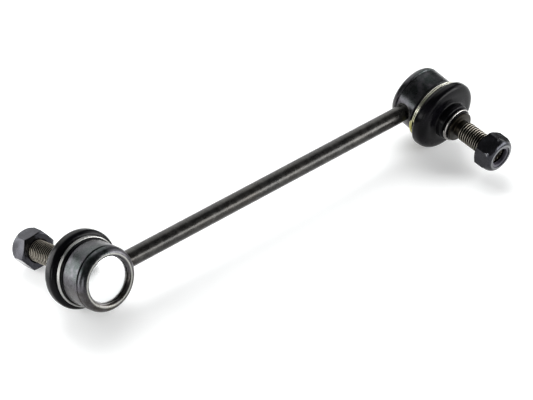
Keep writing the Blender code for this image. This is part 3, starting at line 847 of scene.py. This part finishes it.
def nut_shell():
    """The turned form that rounds the hexagon, and the bore that is cut from it."""
    corner = NUT_FLATS / sqrt(3) + NUT_CORNER_MARGIN
    crown = NUT_HEIGHT - NUT_HEX_HEIGHT
    reach = corner - NUT_CROWN_EDGE - NUT_CROWN_RADIUS
    dome = [(NUT_CROWN_RADIUS + reach * cos(t), NUT_HEX_HEIGHT + crown * sin(t))
            for t in [radians(a) for a in range(80, 9, -7)]]
    outside = [
        (0.0, NUT_HEIGHT),
        (NUT_CROWN_RADIUS, NUT_HEIGHT),
        *dome,
        (corner, NUT_HEX_HEIGHT - NUT_CROWN_EDGE),
        (corner, (corner - NUT_FACE_RADIUS) * NUT_CHAMFER_SLOPE),
        (NUT_FACE_RADIUS, 0.0),
        (0.0, 0.0),
    ]
    bore = [
        (0.0, NUT_HEIGHT + TOOL_MARGIN),
        (NUT_LIP_RADIUS, NUT_HEIGHT + TOOL_MARGIN),
        (NUT_LIP_RADIUS, INSERT_TOP + NUT_LIP_SLOPE),
        (INSERT_RADIUS, INSERT_TOP),
        (INSERT_RADIUS, INSERT_FOOT),
        (THREAD_RADIUS + BORE_GAP, INSERT_FOOT),
        (THREAD_RADIUS + BORE_GAP, COUNTERSINK_DEPTH),
        (THREAD_RADIUS + COUNTERSINK, -COUNTERSINK_PASS),
        (THREAD_RADIUS + COUNTERSINK, -TOOL_MARGIN),
        (0.0, -TOOL_MARGIN),
    ]
    return outside, bore


def insert_outline():
    """The nylon ring, from its bore out over its top and back under its foot."""
    top = INSERT_TOP - INSERT_TOP_GAP
    foot = INSERT_FOOT + INSERT_FOOT_GAP
    side = INSERT_RADIUS - INSERT_SIDE_GAP
    return [
        (INSERT_BORE + INSERT_CORNER, top),
        (INSERT_RADIUS - INSERT_CORNER, top),
        (side, INSERT_TOP - INSERT_CORNER),
        (side, INSERT_FOOT + INSERT_CORNER),
        (INSERT_RADIUS - INSERT_CORNER, foot),
        (INSERT_BORE, foot),
        (INSERT_BORE, INSERT_TOP - INSERT_ROUND_HEIGHT),
        (INSERT_BORE + INSERT_ROUND_WIDTH, top - INSERT_TOP_GAP),
    ]


def hexagon(name):
    """A six-sided bar as long as the nut, with a corner on +X."""
    work = bmesh.new()
    radius = NUT_FLATS / sqrt(3)
    bmesh.ops.create_cone(work, cap_ends=True, segments=6, radius1=radius, radius2=radius,
                          depth=NUT_HEIGHT, matrix=Matrix.Translation((0.0, 0.0, NUT_HEIGHT / 2)))
    corner = max(work.verts, key=lambda v: v.co.x)
    offset = atan2(corner.co.y, corner.co.x)
    bmesh.ops.rotate(work, verts=work.verts, matrix=Matrix.Rotation(-offset, 3, "Z"))
    return new_object(name, work)


def nut_body(side):
    """The hexagon, rounded, bored and with its edges broken."""
    nut = hexagon(f"{side}_lock_nut_body")
    outside, bore = nut_shell()
    tools = []
    for kind, outline, operation in (("envelope", outside, "INTERSECT"), ("bore", bore, "DIFFERENCE")):
        tool = turned(f"{side}_{kind}_tool", outline, 96, closed=False)
        tools.append(tool)
        boolean = nut.modifiers.new(kind, "BOOLEAN")
        boolean.operation = operation
        boolean.object = tool
    bevel = nut.modifiers.new("edges", "BEVEL")
    bevel.width = NUT_BEVEL
    bevel.segments = 3
    bevel.limit_method = "ANGLE"
    bevel.angle_limit = radians(24.0)
    mesh = bpy.data.meshes.new_from_object(nut.evaluated_get(bpy.context.evaluated_depsgraph_get()))
    nut.modifiers.clear()
    nut.data = mesh
    for tool in tools:
        bpy.data.objects.remove(tool)
    return nut


def paint_edge_highlights(mesh):
    """The corners of the hexagon and the crimped edge round the insert get a painted highlight."""
    painted_highlight = mesh.attributes.new("painted_highlight", "FLOAT", "FACE")
    for face, value in zip(mesh.polygons, painted_highlight.data):
        radius = face.center.xy.length
        # a flat faces 30 degrees from the corners at its ends
        turn = degrees(atan2(face.normal.y, face.normal.x)) % 60.0
        rounded = abs(turn - 30.0) > CORNER_TURN
        corner = rounded and abs(face.normal.z) < SIDE_TILT and radius > NUT_FLATS / 2
        crimp = face.center.z > NUT_HEIGHT - CRIMP_DEPTH and radius < NUT_CROWN_RADIUS + CRIMP_WIDTH
        # painted highlight on the corner and crimp faces
        value.value = NUT_PAINTED_HIGHLIGHT if corner or crimp else 0.0


def make_nut(side, finishes):
    face = axes(side, "stud") @ Matrix.Translation((0.0, 0.0, nut_face(side)))
    nut = nut_body(side)
    paint_edge_highlights(nut.data)
    place(nut, face @ Matrix.Rotation(radians(NUT_TURN[side]), 4, "Z"))
    shade(nut, 30.0)
    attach(nut, f"{side}_nut")
    dress(nut, finishes["nut"], f"{side}_lock_nut")
    insert = turned(f"{side}_nylon_ring", insert_outline())
    place(insert, face)
    shade(insert, 30.0)
    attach(insert, f"{side}_nut_carrier")
    dress(insert, finishes["insert"], f"{side}_nut_insert")


def finish_inner(side, finish):
    """The bearing halves keep their own solids and get a moulded finish."""
    for name in (f"{side}_ball_seat", f"{side}_pressure_cap"):
        made = frame["nodes"][name]
        made.data.materials.clear()
        made.data.materials.append(finish)


# Floor, light and camera

def make_floor():
    """White paper: it takes the shadows, and glows a little for the camera and for reflections."""
    work = bmesh.new()
    bmesh.ops.create_grid(work, x_segments=1, y_segments=1, size=FLOOR_REACH)
    floor = new_object("floor", work)
    n = Nodes("floor_white")
    paper = n.ramp(n.noise(3.0, 2.0), [(0.3, (0.80, 0.81, 0.81)), (0.7, (0.82, 0.83, 0.83))])
    n.finish(paper, 0.9, 0.0)
    glow = n.add("ShaderNodeEmission")
    glow.inputs["Color"].default_value = (1.0, 1.0, 1.0, 1.0)
    n.link(seen_rays(n.tree, FLOOR_GLOW), glow.inputs["Strength"])
    both = n.add("ShaderNodeAddShader")
    n.link(n.shader.outputs[0], both.inputs[0])
    n.link(glow.outputs[0], both.inputs[1])
    n.link(both.outputs[0], n.tree.nodes["Material Output"].inputs["Surface"])
    floor.data.materials.append(n.material)


def seen_rays(tree, strength):
    """The given strength for rays from the camera, reflections and glass, and none for others."""
    paths = tree.nodes.new("ShaderNodeLightPath").outputs
    seen = math_node(tree, "MAXIMUM", paths["Is Camera Ray"], paths["Is Glossy Ray"])
    seen = math_node(tree, "MAXIMUM", seen, paths["Is Transmission Ray"])
    return math_node(tree, "MULTIPLY", seen, strength)


def heading(azimuth, elevation):
    """Unit vector; azimuth 0 is +Y and 90 is +X."""
    a, e = radians(azimuth), radians(elevation)
    return Vector((sin(a) * cos(e), cos(a) * cos(e), sin(e)))


def room_glow(tree, direction, azimuth, elevation, reach, strength):
    """Light from a round patch of the room that fades out at its reach, in degrees."""
    facing = tree.nodes.new("ShaderNodeVectorMath")
    facing.operation = "DOT_PRODUCT"
    tree.links.new(direction, facing.inputs[0])
    facing.inputs[1].default_value = heading(azimuth, elevation)
    fade = tree.nodes.new("ShaderNodeMapRange")
    fade.interpolation_type = "SMOOTHSTEP"
    fade.inputs["From Min"].default_value = cos(radians(reach))
    fade.inputs["From Max"].default_value = cos(radians(reach * GLOW_CORE))
    fade.inputs["To Max"].default_value = strength
    tree.links.new(facing.outputs["Value"], fade.inputs["Value"])
    return fade.outputs["Result"]


def make_world():
    """White for the camera. The object sees a dim room with a soft glow behind it and one beside it."""
    world = bpy.data.worlds.new("studio")
    bpy.context.scene.world = world
    world.use_nodes = True
    tree = world.node_tree
    direction = tree.nodes.new("ShaderNodeTexCoord").outputs["Generated"]
    behind = room_glow(tree, direction, azimuth=25.0, elevation=38.0, reach=42.0, strength=2.0)
    beside = room_glow(tree, direction, azimuth=108.0, elevation=8.0, reach=34.0, strength=2.4)
    total = math_node(tree, "ADD", math_node(tree, "ADD", behind, ROOM_LIGHT), beside)
    camera_ray = tree.nodes.new("ShaderNodeLightPath").outputs["Is Camera Ray"]
    back = tree.nodes["Background"]
    back.inputs["Color"].default_value = (1.0, 1.0, 1.0, 1.0)
    tree.links.new(math_node(tree, "MAXIMUM", camera_ray, total), back.inputs["Strength"])


def soft_box(name, azimuth, distance, height, size, radiance, in_reflections=True):
    """An area lamp beside the object that faces its middle; lengths in metres."""
    lamp = bpy.data.lights.new(name, "AREA")
    lamp.shape = "RECTANGLE"
    lamp.size, lamp.size_y = size
    lamp.energy = radiance * pi * lamp.size * lamp.size_y
    made = bpy.data.objects.new(name, lamp)
    bpy.context.scene.collection.objects.link(made)
    made.location = heading(azimuth, 0.0) * distance + Vector((0.0, 0.0, height))
    to_middle = LAMP_TARGET - made.location
    made.rotation_euler = to_middle.to_track_quat("-Z", "Y").to_euler()
    made.visible_glossy = in_reflections
    made.visible_camera = False


def make_lights():
    soft_box("key_box", azimuth=32.0, distance=0.75, height=0.80, size=(1.0, 0.8), radiance=3.6,
             in_reflections=False)
    soft_box("right_box", azimuth=142.0, distance=0.42, height=0.11, size=(0.36, 0.16), radiance=9.0)
    soft_box("left_box", azimuth=-60.0, distance=0.215, height=0.045, size=(0.16, 0.09), radiance=6.0)
    soft_box("front_box", azimuth=-112.0, distance=0.40, height=0.07, size=(0.12, 0.12), radiance=5.5)


def make_camera():
    camera = bpy.data.cameras.new("camera")
    camera.lens = CAMERA_LENS
    camera.sensor_width = 36.0
    camera.clip_start = 0.01
    made = bpy.data.objects.new("camera", camera)
    bpy.context.scene.collection.objects.link(made)
    made.location = CAMERA_PLACE
    made.rotation_euler = [radians(angle) for angle in CAMERA_TURN]
    bpy.context.scene.camera = made


def main():
    finishes = {
        "cup": cup_steel(),
        "plate": bright_plate(),
        # the left base ring's wire is a darker copy of the right's: painted shade
        "left_base_ring": spring_wire("left_base_wire_painted_shade", (0.36, 0.36, 0.35), (0.20, 0.20, 0.18), -9.0),
        "right_base_ring": spring_wire("right_base_wire", (0.62, 0.62, 0.58), (0.46, 0.43, 0.10), 15.0),
        "neck_ring": spring_wire("neck_wire", (0.40, 0.39, 0.38), (0.26, 0.24, 0.20), -9.0),
        "stud": stud_steel(),
        "nut": nut_steel(),
        "insert": plain_plastic("nylon", (0.030, 0.028, 0.038), (0.055, 0.051, 0.068), 0.30),
        "acetal": plain_plastic("acetal", (0.72, 0.70, 0.63), (0.80, 0.78, 0.71), 0.45),
    }
    rubber = boot_rubber()
    make_rod(rod_steel())
    for side in SIDES:
        make_cup(side, finishes)
        make_boot(side, rubber)
        make_neck_ring(side, finishes["neck_ring"])
        make_stud(side, finishes["stud"])
        make_nut(side, finishes)
        finish_inner(side, finishes["acetal"])
    make_floor()
    make_world()
    make_lights()
    make_camera()
    bpy.context.scene.view_settings.view_transform = "Standard"


main()
